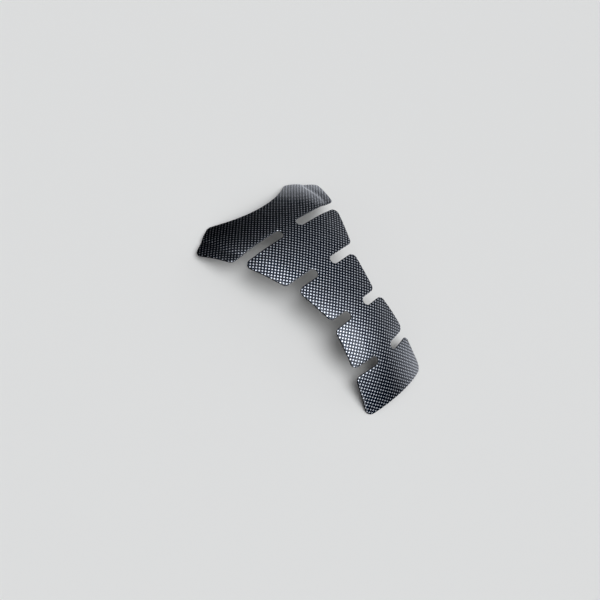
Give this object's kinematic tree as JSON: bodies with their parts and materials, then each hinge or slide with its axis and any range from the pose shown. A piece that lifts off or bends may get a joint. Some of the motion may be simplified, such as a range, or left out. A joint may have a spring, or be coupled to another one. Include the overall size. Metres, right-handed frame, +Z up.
{
  "type": "motorcycle tank pad",
  "caption": "Stick-on fuel tank protector: a thin crowned sheet with a winged head, a scalloped top edge and paired side tabs on a narrow spine, with a woven-look print under a clear gloss coat.",
  "frame": {"origin": "on the table under the middle of the pad's bounding box, as the pad lies on its rim with the coat up", "axes": "+X across the pad, +Y along it from foot to head, +Z up, out of the coat"},
  "size_m": [0.1898, 0.2756, 0.045],
  "materials": {
    "woven_look_film": "clear gloss coat over a black print with a small silver chequer, like plain-woven carbon fibre"
  },
  "bodies": {
    "root": {"tank_pad": "woven_look_film"}
  },
  "joints": []
}
